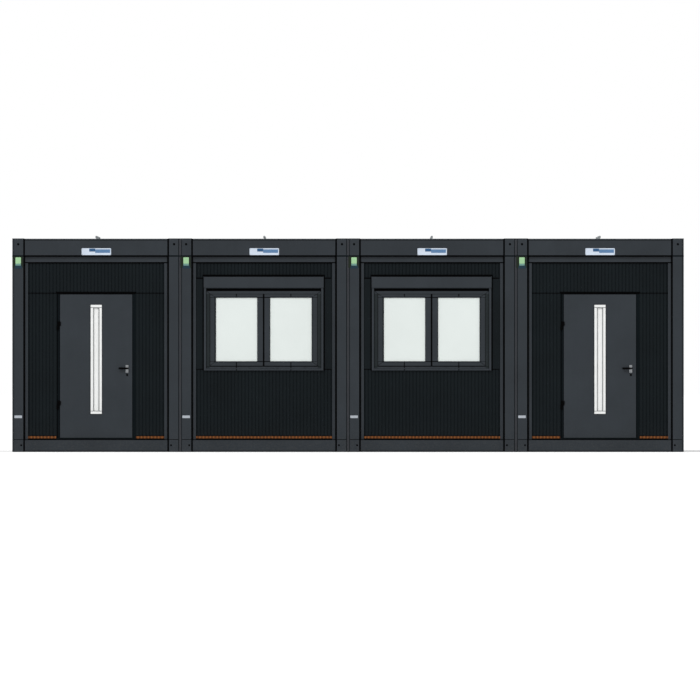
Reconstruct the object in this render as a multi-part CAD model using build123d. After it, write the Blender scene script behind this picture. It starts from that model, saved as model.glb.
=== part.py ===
from build123d import *
import math
import os

# A site cabin building of four linked steel modules, in millimetres.
# X runs along the front, -Y is the front, Z is up, and the origin is on the
# ground in the middle of the whole building.

# Driving dimensions
MODULES = 4
MODULE_PITCH = 2438.0
MODULE_JOINT = 3.0
MODULE_LENGTH = 6055.0
HEIGHT = 3100.0
DOOR_MODULES = (1, 4)
WINDOW_MODULES = (2, 3)

# Steel frame
POST = 173.0
POST_EDGE_R = 25.0
POST_EDGE_STEPS = 4
REVEAL_ON_POST = 10.0
REVEAL_ON_BEAM = 11.0
REVEAL_DEPTH = 15.0
BASE_BEAM_H = 180.0
BEAM_DEPTH = 140.0
ROOF_BEAM_H = 256.0
FITTING_RISE = 4.0
HOLE_DEPTH = 30.0
HOLE_SIDES = 10
ROUND_SIDES = 14
TOP_HOLE = {"from_edge": 86.0, "height": 3016.0, "radius": 15.0}
BOTTOM_HOLE = {"from_edge": 130.0, "height": 98.0, "radius": 12.0}

# Fork pockets through the long base beams
POCKET_WIDTH = 352.0
POCKET_HEIGHT = 85.0
POCKET_WALL = 6.0
POCKET_SPACING = 2407.0
POCKET_Z = 92.0

# Walls: depths run inwards from the outer face of the steel frame
CREST_V = 50.0
CORE_V = 58.0
WALL_INNER_V = 140.0
RIB_PITCH = 50.0
RIB_CREST = 30.0
GROOVE_DEPTH = 7.0
PANEL_HALF = 990.0
TRIM_HALF = 1032.0
TRIM_V = 34.0
HEADER_V = 30.0
HEADER_Z = (2757.0, 2834.0)
TRIM_TOP = 2740.0
RIB_Z = (232.0, 2738.0)
SOLE_Z = (190.0, 232.0)
SOLE_V = 53.0
PANEL_GAP = 0.5
JOINT_GROOVE = 3.0

# Floor, ceiling and roof
FLOOR_TOP = 206.0
UNDERSHEET_Z = (20.0, 26.0)
CEILING_UNDER = 2780.0
ROOF_EDGE_Z = 3064.0
ROOF_RIDGE_Z = 3086.0
ROOF_SHEET_T = 6.0
SEAM_T = 8.0
SEAM_TOP = 3135.0
SEAL_V = (24.0, 64.0)
ROOF_SEAL_H = 30.0

# Door
LEAF_HALF = 524.0
LEAF_Z = (206.0, 2286.0)
LEAF_V = (42.0, 87.0)
DOOR_FRAME_HALF = 577.0
DOOR_FRAME_TOP = 2326.0
DOOR_FRAME_V = 46.0
LEAF_GAP = 7.0
LEAF_SILL_GAP = 6.0
STOP_GAP = 5.0
STOP_REACH = 25.0
SILL_STOP = 10.0
DOOR_PANEL_JOINT_Z = 2309.0
BEZEL_HALF = 84.5
BEZEL_Z = (548.0, 2141.0)
BEZEL_BAND = 45.0
BEZEL_T = 6.0
BEZEL_BEVEL = 4.0
CUTOUT_MARGIN = 22.0
DOOR_GLASS_V = (55.0, 75.0)

# Hinges
HINGE_U = -552.0
HINGE_V = 30.0
HINGE_Z = (682.0, 1832.0)
HINGE_H = 117.0
KNUCKLE_R = 9.0
KNUCKLE_GAP = 1.0
FRAME_WING = 23.0
LEAF_WING = 38.0
PIN_R = 4.0
PIN_PLAY = 0.4
PIN_REACH = 46.0

# Lever and lock plates
LEVER_U = 448.0
LEVER_Z = 1213.0
LEVER_ENDS = (326.0, 471.0)
LEVER_H = 24.0
LEVER_T = 14.0
LEVER_BEVEL = 6.0
LEVER_V = -6.0
NECK_R = 9.0
NECK_GAP = 1.0
SPINDLE_R = 4.5
SPINDLE_HOLE_R = 6.0
PLATE_SIZE = (42.0, 112.0)
PLATE_Z = 1206.0
PLATE_T = 6.0
PLATE_BEVEL = 2.0
CYLINDER_Z = 1165.0
CYLINDER_R = 8.5
CYLINDER_OUT = 4.0

# Window, hung a little left of the middle of its wall
WINDOW_SHIFT = -6.0
WINDOW_OPEN_HALF = 820.0
WINDOW_OPEN_Z = (1199.0, 2531.0)
FLANGE_HALF = 836.0
FLANGE_Z = (1183.0, 2338.0)
FLANGE_V = 40.0
WINDOW_FRAME_V = 130.0
SASH_OUTER = 780.0
SASH_Z = (1241.0, 2296.0)
SASH_GAP = 10.0
SASH_V = (52.0, 118.0)
SASH_BEVEL = 9.0
MEETING_STRIP = (22.0, 6.0)
PANE_U = (93.0, 697.0)
PANE_Z = (1316.0, 2239.0)
PANE_V = (72.0, 96.0)
SILL_HALF = 834.0
SILL_NOSE_V = 22.0
SILL_SHEET = 4.0
SILL_FALL = 12.0
SILL_TOP = 1216.0
BOX_HALF = 867.0
BOX_Z = (2383.0, 2547.0)
BOX_V = 12.0
BOX_EDGE_R = 8.0
SLOT_V = 90.0
GUIDE_V = 20.0
GUIDE_GROOVE = {"v": (28.0, 40.0), "depth": 14.0}
SLAT_V = (30.0, 38.0)
SLAT_H = 22.0
SLAT_HALF = 846.0

# Values that follow from the driving dimensions
NUMBERS = range(1, MODULES + 1)
MODULE_HALF = (MODULE_PITCH - MODULE_JOINT) / 2
HALF_LENGTH = MODULE_LENGTH / 2
HALF_WIDTH = MODULE_PITCH * (MODULES - 1) / 2 + MODULE_HALF
ROOF_BEAM_TOP = HEIGHT - FITTING_RISE
POST_TOP = ROOF_BEAM_TOP - ROOF_BEAM_H
POST_INNER = MODULE_HALF - POST
SIDE_HALF = HALF_LENGTH - POST
EDGE_MARGIN = POST_INNER - PANEL_HALF


def module_x(number):
    """Centre of a module, numbered from 1 at the left."""
    return (number - (MODULES + 1) / 2) * MODULE_PITCH


def block(x, y, z):
    """A box from three pairs of limits, in any order."""
    (x0, x1), (y0, y1), (z0, z1) = sorted(x), sorted(y), sorted(z)
    centre = Pos((x0 + x1) / 2, (y0 + y1) / 2, (z0 + z1) / 2)
    return centre * Box(x1 - x0, y1 - y0, z1 - z0)


def mirrored(side, near, far):
    """The same pair of distances, on the left (-1) or right (1) of the middle."""
    return (side * near, side * far)


def rod(u, z, v, radius):
    """A round bar that runs inwards through a wall."""
    v0, v1 = sorted(v)
    face = Plane(origin=(u, v0, z), x_dir=(1, 0, 0), z_dir=(0, 1, 0))
    return extrude(face * RegularPolygon(radius, ROUND_SIDES), v1 - v0)


# Places of the walls: in each, u runs along the wall, v inwards and z up

def front(number):
    return Pos(module_x(number), -HALF_LENGTH, 0)


def rear(number):
    return Pos(module_x(number), HALF_LENGTH, 0) * Rot(0, 0, 180)


END_WALLS = [front(n) for n in NUMBERS] + [rear(n) for n in NUMBERS]
LEFT_WALL = Pos(-HALF_WIDTH, 0, 0) * Rot(0, 0, -90)
RIGHT_WALL = Pos(HALF_WIDTH, 0, 0) * Rot(0, 0, 90)
ALL_WALLS = [(p, POST_INNER) for p in END_WALLS]
ALL_WALLS += [(LEFT_WALL, SIDE_HALF), (RIGHT_WALL, SIDE_HALF)]


# Steel frame

def upright(side, z0, z1):
    """A square upright at one end of a wall: a rolled outer edge, a reveal at the inner one."""
    r, inner = POST_EDGE_R, POST_INNER + REVEAL_ON_POST
    points = [(POST_INNER, POST), (POST_INNER, REVEAL_DEPTH), (inner, REVEAL_DEPTH), (inner, 0)]
    for step in range(POST_EDGE_STEPS + 1):
        turn = math.radians(90 * step / POST_EDGE_STEPS)
        points.append((MODULE_HALF - r + r * math.sin(turn), r - r * math.cos(turn)))
    points.append((MODULE_HALF, POST))
    section = make_face(Polyline(*[(side * u, v) for u, v in points], close=True))
    return Pos(0, 0, z0) * extrude(section, amount=z1 - z0)


def fitting(side, z0, z1, hole):
    """A corner block with a blind hole in its outer face."""
    u = side * (MODULE_HALF - hole["from_edge"])
    face = Plane(origin=(u, 0, hole["height"]), x_dir=(1, 0, 0), z_dir=(0, 1, 0))
    bore = extrude(face * RegularPolygon(hole["radius"], HOLE_SIDES), HOLE_DEPTH)
    return upright(side, z0, z1) - bore


def at_all_corners(shapes):
    """The same pair of shapes, left and right, at every end wall."""
    return [place * shape for place in END_WALLS for shape in shapes]


def corner_posts():
    return at_all_corners([upright(s, BASE_BEAM_H, POST_TOP) for s in (-1, 1)])


def bottom_fittings():
    return at_all_corners([fitting(s, 0, BASE_BEAM_H, BOTTOM_HOLE) for s in (-1, 1)])


def top_fittings():
    return at_all_corners([fitting(s, POST_TOP, HEIGHT, TOP_HOLE) for s in (-1, 1)])


def end_beams(z0, z1):
    """The short beams at the front and rear of every module, with a reveal at each end."""
    beam = block((-POST_INNER, POST_INNER), (0, BEAM_DEPTH), (z0, z1))
    for side in (-1, 1):
        end = mirrored(side, POST_INNER - REVEAL_ON_BEAM, POST_INNER)
        beam -= block(end, (0, REVEAL_DEPTH), (z0, z1))
    return [place * beam for place in END_WALLS]


def side_beams(z0, z1):
    """The long beams at both sides of every module."""
    across = (MODULE_HALF - BEAM_DEPTH, MODULE_HALF)
    beams = []
    for n in NUMBERS:
        for side in (-1, 1):
            beam = block(mirrored(side, *across), (-SIDE_HALF, SIDE_HALF), (z0, z1))
            beams.append(Pos(module_x(n), 0, 0) * beam)
    return beams


def pocket_places():
    return [Pos(0, side * POCKET_SPACING / 2, POCKET_Z) for side in (-1, 1)]


def pocketed_base_beams():
    """Long base beams, cut through where the fork pockets pass."""
    width = POCKET_WIDTH + 2 * POCKET_WALL
    height = POCKET_HEIGHT + 2 * POCKET_WALL
    holes = [p * Box(3 * HALF_WIDTH, width, height) for p in pocket_places()]
    return [beam - holes for beam in side_beams(0, BASE_BEAM_H)]


def fork_pockets():
    """Rectangular tubes that take a lift truck's forks, across each module."""
    tube = Box(
        2 * MODULE_HALF, POCKET_WIDTH + 2 * POCKET_WALL, POCKET_HEIGHT + 2 * POCKET_WALL
    )
    tube -= Box(3 * MODULE_HALF, POCKET_WIDTH, POCKET_HEIGHT)
    return [Pos(module_x(n), 0, 0) * p * tube for n in NUMBERS for p in pocket_places()]


# Floor, ceiling and roof

def clear_of_posts(number, slab):
    """A slab with its corners cut out round the posts of its module."""
    corners = [
        place * block(mirrored(side, POST_INNER, 2 * MODULE_HALF), (-POST, POST), (0, HEIGHT))
        for place in (front(number), rear(number))
        for side in (-1, 1)
    ]
    return slab - corners


def interior_slab(number, z0, z1):
    """A slab over one module, inside the outer walls."""
    low = -HALF_WIDTH + WALL_INNER_V if number == 1 else module_x(number) - MODULE_HALF
    high = HALF_WIDTH - WALL_INNER_V if number == MODULES else module_x(number) + MODULE_HALF
    reach = HALF_LENGTH - WALL_INNER_V
    return clear_of_posts(number, block((low, high), (-reach, reach), (z0, z1)))


def undersheet(number):
    """The sheet that closes the floor from below, between the base beams."""
    half = MODULE_HALF - BEAM_DEPTH
    reach = HALF_LENGTH - BEAM_DEPTH
    sheet = block((-half, half), (-reach, reach), UNDERSHEET_Z)
    return clear_of_posts(number, Pos(module_x(number), 0, 0) * sheet)


def roof_sheet(number):
    """A crowned roof sheet with one standing seam along the module."""
    half = MODULE_HALF - BEAM_DEPTH
    reach = HALF_LENGTH - BEAM_DEPTH
    outline = Polyline(
        (-half, ROOF_EDGE_Z - ROOF_SHEET_T),
        (-half, ROOF_EDGE_Z),
        (-SEAM_T / 2, ROOF_RIDGE_Z),
        (-SEAM_T / 2, SEAM_TOP),
        (SEAM_T / 2, SEAM_TOP),
        (SEAM_T / 2, ROOF_RIDGE_Z),
        (half, ROOF_EDGE_Z),
        (half, ROOF_EDGE_Z - ROOF_SHEET_T),
        (0, ROOF_RIDGE_Z - ROOF_SHEET_T),
        close=True,
    )
    sheet = extrude(Plane.XZ * make_face(outline), amount=reach, both=True)
    return clear_of_posts(number, Pos(module_x(number), 0, 0) * sheet)


def joint_seals():
    """Strips that close the joints between modules, at the ends and on the roof."""
    across = (-MODULE_JOINT / 2, MODULE_JOINT / 2)
    reach = HALF_LENGTH - SEAL_V[1]
    roof = block(across, (-reach, reach), (ROOF_BEAM_TOP - ROOF_SEAL_H, ROOF_BEAM_TOP))
    upright_strip = block(across, SEAL_V, (0, ROOF_BEAM_TOP))
    seals = []
    for n in NUMBERS[:-1]:
        step = Pos(MODULE_PITCH / 2, 0, 0)
        seals.append(front(n) * step * upright_strip)
        seals.append(rear(n + 1) * step * upright_strip)
        seals.append(Pos(module_x(n), 0, 0) * step * roof)
    return seals


# Ribbed wall panels

def ribbed_sheet(u, z):
    """A profiled sheet: flat ribs with V grooves between them, on one shared pitch."""
    u0, u1 = sorted(u)
    half_groove = (RIB_PITCH - RIB_CREST) / 2
    points = [(u0, CREST_V)]
    groove = (u0 // RIB_PITCH + 0.5) * RIB_PITCH
    while groove + half_groove < u1:
        if groove - half_groove > u0:
            points.append((groove - half_groove, CREST_V))
            points.append((groove, CREST_V + GROOVE_DEPTH))
            points.append((groove + half_groove, CREST_V))
        groove += RIB_PITCH
    points += [(u1, CREST_V), (u1, CORE_V + 4), (u0, CORE_V + 4)]
    section = make_face(Polyline(*points, close=True))
    return Pos(0, 0, z[0]) * extrude(section, amount=z[1] - z[0])


def panel(u, z, sheet_u, sheet_z):
    """A sandwich panel: an insulated core with a profiled sheet on its outer face."""
    return block(u, (CORE_V, WALL_INNER_V), z) + ribbed_sheet(sheet_u, sheet_z)


def plain_wall(half):
    """A closed wall between two posts, from the base beam to the roof beam."""
    sheet_half = half - EDGE_MARGIN
    return panel((-half, half), (BASE_BEAM_H, POST_TOP), (-sheet_half, sheet_half), RIB_Z)


def full_width_panel(z0, z1, sheet_z0, sheet_z1):
    return panel(
        (-POST_INNER, POST_INNER), (z0, z1), (-PANEL_HALF, PANEL_HALF), (sheet_z0, sheet_z1)
    )


def door_wall():
    """Ribbed panels beside and over a doorway."""
    seam = DOOR_PANEL_JOINT_Z
    panels = [
        panel(
            mirrored(side, DOOR_FRAME_HALF, POST_INNER), (BASE_BEAM_H, seam),
            mirrored(side, DOOR_FRAME_HALF, PANEL_HALF), (RIB_Z[0], seam - JOINT_GROOVE),
        )
        for side in (-1, 1)
    ]
    over = full_width_panel(seam + PANEL_GAP, POST_TOP, seam + JOINT_GROOVE, RIB_Z[1])
    head = block((-DOOR_FRAME_HALF, DOOR_FRAME_HALF), (0, POST), (0, DOOR_FRAME_TOP))
    return panels + [over - head]


def window_wall():
    """Ribbed panels under and over a window, and flat ones at its sides."""
    low, high = WINDOW_OPEN_Z
    under = full_width_panel(BASE_BEAM_H, low, RIB_Z[0], low - JOINT_GROOVE)
    over = full_width_panel(high, POST_TOP, high + JOINT_GROOVE, RIB_Z[1])
    panels = [under, over]
    for side in (-1, 1):
        edge = WINDOW_SHIFT + side * WINDOW_OPEN_HALF
        core = block((edge, side * POST_INNER), (CORE_V, WALL_INNER_V),
                     (low + PANEL_GAP, high - PANEL_GAP))
        skin = block((edge, side * PANEL_HALF), (CREST_V, CORE_V),
                     (low + JOINT_GROOVE, high - JOINT_GROOVE))
        panels.append(core + skin)
    return panels


# Trims on the walls

def trims():
    """Upright strips that cover the panel edges beside the posts."""
    near, far = EDGE_MARGIN, POST_INNER - TRIM_HALF
    return [
        place * block(mirrored(side, half - near, half - far), (TRIM_V, CORE_V),
                      (BASE_BEAM_H, TRIM_TOP))
        for place, half in ALL_WALLS
        for side in (-1, 1)
    ]


def headers():
    """Level strips over the panels, just under the roof beams."""
    margin = POST_INNER - TRIM_HALF
    return [
        place * block((margin - half, half - margin), (HEADER_V, CORE_V), HEADER_Z)
        for place, half in ALL_WALLS
    ]


def soles():
    """The brown strips at the foot of the panels, broken at the doorways."""
    strips = []
    for index, (place, half) in enumerate(ALL_WALLS):
        reach = half - EDGE_MARGIN
        if index + 1 in DOOR_MODULES:
            runs = [mirrored(side, DOOR_FRAME_HALF, reach) for side in (-1, 1)]
        else:
            runs = [(-reach, reach)]
        strips += [place * block(run, (SOLE_V, CORE_V), SOLE_Z) for run in runs]
    return strips


# Door

def door_frame():
    """A rebated frame: jambs, head and threshold in one welded ring."""
    face = LEAF_HALF + LEAF_GAP
    head = LEAF_Z[1] + LEAF_GAP
    sill = LEAF_Z[0] - LEAF_SILL_GAP
    stop_v = LEAF_V[1] + STOP_GAP
    clear = face - STOP_REACH
    ring = block((-DOOR_FRAME_HALF, DOOR_FRAME_HALF), (DOOR_FRAME_V, WALL_INNER_V),
                 (BASE_BEAM_H, DOOR_FRAME_TOP))
    ring -= block((-face, face), (DOOR_FRAME_V, stop_v), (sill, head))
    return ring - block((-clear, clear), (stop_v, WALL_INNER_V),
                        (sill + SILL_STOP, head - STOP_REACH))


def cutout(v):
    """The tall cut-out for the glass, over a range of depth."""
    half = BEZEL_HALF - CUTOUT_MARGIN
    return block((-half, half), v, (BEZEL_Z[0] + CUTOUT_MARGIN, BEZEL_Z[1] - CUTOUT_MARGIN))


def door_leaf():
    """A flush steel leaf with a tall cut-out and a hole for the spindle."""
    leaf = block((-LEAF_HALF, LEAF_HALF), LEAF_V, LEAF_Z) - cutout(LEAF_V)
    return leaf - rod(LEVER_U, LEVER_Z, LEAF_V, SPINDLE_HOLE_R)


def bezel(v_leaf, v_out):
    """The moulded glazing frame on one face of the leaf, bevelled outwards."""
    inner = BEZEL_HALF - BEZEL_BAND
    ring = block((-BEZEL_HALF, BEZEL_HALF), (v_leaf, v_out), BEZEL_Z)
    proud = ring.faces().sort_by(Axis.Y)[0 if v_out < v_leaf else -1]
    ring = chamfer(proud.edges(), BEZEL_BEVEL)
    return ring - block((-inner, inner), (v_leaf, v_out),
                        (BEZEL_Z[0] + BEZEL_BAND, BEZEL_Z[1] - BEZEL_BAND))


def door_bezels():
    outer, inner = LEAF_V
    return [bezel(outer, outer - BEZEL_T), bezel(inner, inner + BEZEL_T)]


def hinge_bar(z, radius):
    """A round upright bar on the hinge axis."""
    profile = RegularPolygon(radius, ROUND_SIDES)
    return Pos(HINGE_U, HINGE_V, z[0]) * extrude(profile, z[1] - z[0])


def frame_hinges():
    """Lower hinge halves on the jamb: knuckle, wing and standing pin."""
    halves = []
    for z in HINGE_Z:
        span = (z - HINGE_H / 2, z - KNUCKLE_GAP / 2)
        wing = block((HINGE_U - FRAME_WING, HINGE_U), (HINGE_V, DOOR_FRAME_V), span)
        pin = hinge_bar((z - PIN_R, z + PIN_REACH), PIN_R)
        halves.append(hinge_bar(span, KNUCKLE_R) + wing + pin)
    return halves


def leaf_hinges():
    """Upper hinge halves on the leaf, bored for the pin."""
    halves = []
    for z in HINGE_Z:
        span = (z + KNUCKLE_GAP / 2, z + HINGE_H / 2)
        wing = block((HINGE_U, HINGE_U + LEAF_WING), (HINGE_V, LEAF_V[0]), span)
        bore = hinge_bar((z, z + PIN_REACH + 2), PIN_R + PIN_PLAY)
        halves.append(hinge_bar(span, KNUCKLE_R) + wing - bore)
    return halves


def lever_grip(v):
    """A level grip with bevelled ends, pointing at the hinges."""
    grip = block(LEVER_ENDS, (v - LEVER_T / 2, v + LEVER_T / 2),
                 (LEVER_Z - LEVER_H / 2, LEVER_Z + LEVER_H / 2))
    return chamfer(grip.edges().filter_by(Axis.Y), LEVER_BEVEL)


def door_lever():
    """Grips outside and inside, joined by necks and one spindle."""
    outer_plate, inner_plate = LEAF_V[0] - PLATE_T, LEAF_V[1] + PLATE_T
    outer_grip = LEVER_V + LEVER_T / 2
    inner_grip = inner_plate + outer_plate - outer_grip
    lever = rod(LEVER_U, LEVER_Z, (outer_grip, inner_grip), SPINDLE_R)
    lever += rod(LEVER_U, LEVER_Z, (outer_grip, outer_plate - NECK_GAP), NECK_R)
    lever += rod(LEVER_U, LEVER_Z, (inner_plate + NECK_GAP, inner_grip), NECK_R)
    return lever + lever_grip(outer_grip) + lever_grip(inner_grip)


def lock_plate(v_leaf, direction):
    """A bevelled plate with a lock cylinder below the spindle hole."""
    width, height = PLATE_SIZE
    v_out = v_leaf + direction * PLATE_T
    plate = block((LEVER_U - width / 2, LEVER_U + width / 2), (v_leaf, v_out),
                  (PLATE_Z - height / 2, PLATE_Z + height / 2))
    proud = plate.faces().sort_by(Axis.Y)[0 if direction < 0 else -1]
    plate = chamfer(proud.edges(), PLATE_BEVEL)
    plate -= rod(LEVER_U, LEVER_Z, (v_leaf, v_out), SPINDLE_HOLE_R)
    return plate + rod(LEVER_U, CYLINDER_Z, (v_leaf, v_out + direction * CYLINDER_OUT), CYLINDER_R)


# Window

def window_frame():
    """A flanged frame in the wall opening, with the shutter's slot above it."""
    body = block((-WINDOW_OPEN_HALF, WINDOW_OPEN_HALF), (CREST_V, WINDOW_FRAME_V),
                 (WINDOW_OPEN_Z[0] + PANEL_GAP, BOX_Z[0]))
    body += block((-FLANGE_HALF, FLANGE_HALF), (FLANGE_V, CREST_V), FLANGE_Z)
    body -= block((-SASH_OUTER, SASH_OUTER), (0, POST), SASH_Z)
    return body - block((-FLANGE_HALF, FLANGE_HALF), (0, SLOT_V), (FLANGE_Z[1], BOX_Z[0]))


def sash(side):
    """A casement: stiles and rails with a bevel towards the glass."""
    body = block(mirrored(side, SASH_GAP / 2, SASH_OUTER), SASH_V, SASH_Z)
    body -= block(mirrored(side, *PANE_U), SASH_V, PANE_Z)
    face = body.faces().sort_by(Axis.Y)[0]
    body = chamfer(face.inner_wires()[0].edges(), SASH_BEVEL)
    if side < 0:
        width, depth = MEETING_STRIP
        body += block((-width, width), (SASH_V[1], SASH_V[1] + depth), SASH_Z)
    return body


def pane(side):
    """A pane of glass, held between the rails of its sash."""
    return block(mirrored(side, *PANE_U), PANE_V, PANE_Z)


def window_sill():
    """A folded sheet under the sashes that sheds water past the wall."""
    nose = SILL_NOSE_V
    section = Polyline(
        (FLANGE_V, SILL_TOP),
        (nose, SILL_TOP - SILL_FALL),
        (nose, FLANGE_Z[0]),
        (nose + SILL_SHEET, FLANGE_Z[0]),
        (nose + SILL_SHEET, SILL_TOP - SILL_FALL - SILL_SHEET),
        (FLANGE_V, SILL_TOP - SILL_SHEET),
        close=True,
    )
    return extrude(Plane.YZ * make_face(section), amount=SILL_HALF, both=True)


def shutter_box():
    """The roller shutter's casing, proud of the wall and set into it."""
    casing = block((-BOX_HALF, BOX_HALF), (BOX_V, CREST_V), BOX_Z)
    casing = fillet(casing.faces().sort_by(Axis.Y)[0].edges().filter_by(Axis.X), BOX_EDGE_R)
    return casing + block((-WINDOW_OPEN_HALF, WINDOW_OPEN_HALF), (CREST_V, WALL_INNER_V),
                          (BOX_Z[0], WINDOW_OPEN_Z[1] - PANEL_GAP))


def shutter_guides():
    """Rails at both sides of the window, grooved for the shutter's slats."""
    rails = []
    for side in (-1, 1):
        rail = block(mirrored(side, FLANGE_HALF, BOX_HALF), (GUIDE_V, CREST_V),
                     (FLANGE_Z[0], BOX_Z[0]))
        far = FLANGE_HALF + GUIDE_GROOVE["depth"]
        groove = block(mirrored(side, FLANGE_HALF, far), GUIDE_GROOVE["v"], (0, HEIGHT))
        rails.append(rail - groove)
    return rails


def shutter_slat():
    """The end slat of the raised shutter, in the mouth of its box."""
    return block((-SLAT_HALF, SLAT_HALF), SLAT_V, (BOX_Z[0] - SLAT_H, BOX_Z[0]))


# Nodes

def building_nodes():
    return {
        "corner_posts": corner_posts(),
        "bottom_corner_fittings": bottom_fittings(),
        "top_corner_fittings": top_fittings(),
        "base_end_beams": end_beams(0, BASE_BEAM_H),
        "base_side_beams": pocketed_base_beams(),
        "fork_pockets": fork_pockets(),
        "roof_end_beams": end_beams(POST_TOP, ROOF_BEAM_TOP),
        "roof_side_beams": side_beams(POST_TOP, ROOF_BEAM_TOP),
        "floor_decks": [interior_slab(n, BASE_BEAM_H, FLOOR_TOP) for n in NUMBERS],
        "floor_undersheets": [undersheet(n) for n in NUMBERS],
        "ceilings": [interior_slab(n, CEILING_UNDER, POST_TOP) for n in NUMBERS],
        "roof_sheets": [roof_sheet(n) for n in NUMBERS],
        "joint_seals": joint_seals(),
        "wall_trims": trims(),
        "header_strips": headers(),
        "sole_strips": soles(),
        "rear_walls": [rear(n) * plain_wall(POST_INNER) for n in NUMBERS],
        "side_wall_left": [LEFT_WALL * plain_wall(SIDE_HALF)],
        "side_wall_right": [RIGHT_WALL * plain_wall(SIDE_HALF)],
    }


def door_nodes():
    return {
        "frame": [door_frame()],
        "frame_hinges": frame_hinges(),
        "leaf": [door_leaf()],
        "leaf_hinges": leaf_hinges(),
        "glazing_bezel": door_bezels(),
        "glass": [cutout(DOOR_GLASS_V)],
        "lock_plates": [lock_plate(LEAF_V[0], -1), lock_plate(LEAF_V[1], 1)],
        "lever": [door_lever()],
    }


def window_nodes():
    return {
        "frame": [window_frame()],
        "sashes": [sash(-1), sash(1)],
        "glass": [pane(-1), pane(1)],
        "sill": [window_sill()],
        "shutter_box": [shutter_box()],
        "shutter_guides": shutter_guides(),
        "shutter_slat": [shutter_slat()],
    }


def write(name, shapes):
    """Write one named piece, which may hold several like solids."""
    solids = [solid for shape in shapes for solid in shape.solids()]
    whole = solids[0] if len(solids) == 1 else Compound(children=solids)
    export_step(whole, os.path.join("parts", name + ".step"))


def write_in_wall(place, prefix, nodes):
    """Write the pieces of one wall, moved to their place."""
    for name, shapes in nodes.items():
        write(prefix + name, [place * shape for shape in shapes])


os.makedirs("parts", exist_ok=True)
for node, solids_of_node in building_nodes().items():
    write(node, solids_of_node)
for n in DOOR_MODULES:
    write_in_wall(front(n), "", {f"front_wall_{n}": door_wall()})
    write_in_wall(front(n), f"door_{n}_", door_nodes())
for n in WINDOW_MODULES:
    write_in_wall(front(n), "", {f"front_wall_{n}": window_wall()})
    write_in_wall(front(n) * Pos(WINDOW_SHIFT, 0, 0), f"window_{n}_", window_nodes())
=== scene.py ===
"""Looks for a portable site cabin of four linked steel modules, in metres."""
import math

import bpy
from mathutils import Matrix, Vector

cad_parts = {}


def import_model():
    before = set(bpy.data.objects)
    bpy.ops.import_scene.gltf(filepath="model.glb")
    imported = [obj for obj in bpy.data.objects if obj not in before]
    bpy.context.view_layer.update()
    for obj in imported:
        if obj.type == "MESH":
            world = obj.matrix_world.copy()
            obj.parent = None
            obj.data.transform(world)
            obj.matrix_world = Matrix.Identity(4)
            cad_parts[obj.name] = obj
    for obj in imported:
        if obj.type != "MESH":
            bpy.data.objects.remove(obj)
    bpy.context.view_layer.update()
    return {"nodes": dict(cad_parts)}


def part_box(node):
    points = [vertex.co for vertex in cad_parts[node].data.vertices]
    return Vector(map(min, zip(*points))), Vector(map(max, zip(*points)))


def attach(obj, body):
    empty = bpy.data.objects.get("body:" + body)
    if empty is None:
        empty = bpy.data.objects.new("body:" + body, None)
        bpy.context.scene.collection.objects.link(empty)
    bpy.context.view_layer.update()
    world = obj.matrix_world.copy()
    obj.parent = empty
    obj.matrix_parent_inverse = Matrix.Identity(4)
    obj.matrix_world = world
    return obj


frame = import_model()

bl_info = {
    "name": "Portable Site Cabin",
    "version": (1, 0, 0),
    "blender": (4, 5, 0),
    "location": "3D View > Sidebar > Cabin",
    "description": "Finishes and fittings for a row of linked site cabins",
    "category": "Object",
}

NODES = frame["nodes"]
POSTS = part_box("corner_posts")
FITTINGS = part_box("top_corner_fittings")
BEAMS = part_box("roof_end_beams")
HALF_LENGTH = POSTS[1].y
HALF_WIDTH = POSTS[1].x
MODULES = (1, 2, 3, 4)
DOOR_MODULES = (1, 4)
WINDOW_MODULES = (2, 3)
PITCH = (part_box("front_wall_4")[0].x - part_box("front_wall_1")[0].x) / 3
MODULE_GAP = 0.0015
MODULE_HALF = PITCH / 2 - MODULE_GAP
POST = 0.173
INNER = MODULE_HALF - POST
SIDE_INNER = HALF_LENGTH - POST
BETWEEN_TRIMS = INNER - 0.055
BEAM_END = INNER - 0.0115
ALONG_BEAM = (-BEAM_END, BEAM_END)
BEAM_TOP = BEAMS[1].z
POST_TOP = POSTS[1].z
BASE_TOP = POSTS[0].z
PANEL_SEAM = 2.3045
GROOVE_PITCH = 0.05
VIEW_DISTANCE = 400.0
VIEW_WIDTH = 10.162
VIEW_MIDDLE = (0.0285, 1.480)


def srgb(red, green, blue):
    """A linear colour from the eight-bit numbers of a colour card."""
    return tuple(((c / 255 + 0.055) / 1.055) ** 2.4 if c > 10 else c / 255 / 12.92
                 for c in (red, green, blue))


# Places: a piece is modelled on the front of module 1 and copied from there

def module_x(number):
    """Centre of a module, numbered from 1 at the left."""
    return (number - 2.5) * PITCH


def front(number):
    return Matrix.Translation((module_x(number), -HALF_LENGTH, 0))


def rear(number):
    turn = Matrix.Rotation(math.pi, 4, "Z")
    return Matrix.Translation((module_x(number), HALF_LENGTH, 0)) @ turn


def end_walls():
    return [front(n) for n in MODULES] + [rear(n) for n in MODULES]


def left_end():
    turn = Matrix.Rotation(-math.pi / 2, 4, "Z")
    return Matrix.Translation((-HALF_WIDTH, 0, 0)) @ turn


def right_end():
    turn = Matrix.Rotation(math.pi / 2, 4, "Z")
    return Matrix.Translation((HALF_WIDTH, 0, 0)) @ turn


FIRST = front(1)


# Reach of the CAD nodes that the details lie on: u along the wall, v inwards, z up

def spans(name, number=1):
    """Reach of a node along the wall from its module's middle, and up."""
    low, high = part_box(name)
    middle = module_x(number)
    return (low.x - middle, high.x - middle), (low.z, high.z)


def front_face(name):
    """How far a node's front lies behind the front of the posts."""
    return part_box(name)[0].y + HALF_LENGTH


def half_width(name):
    low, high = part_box(name)
    return (high.x - low.x) / 2


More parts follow.
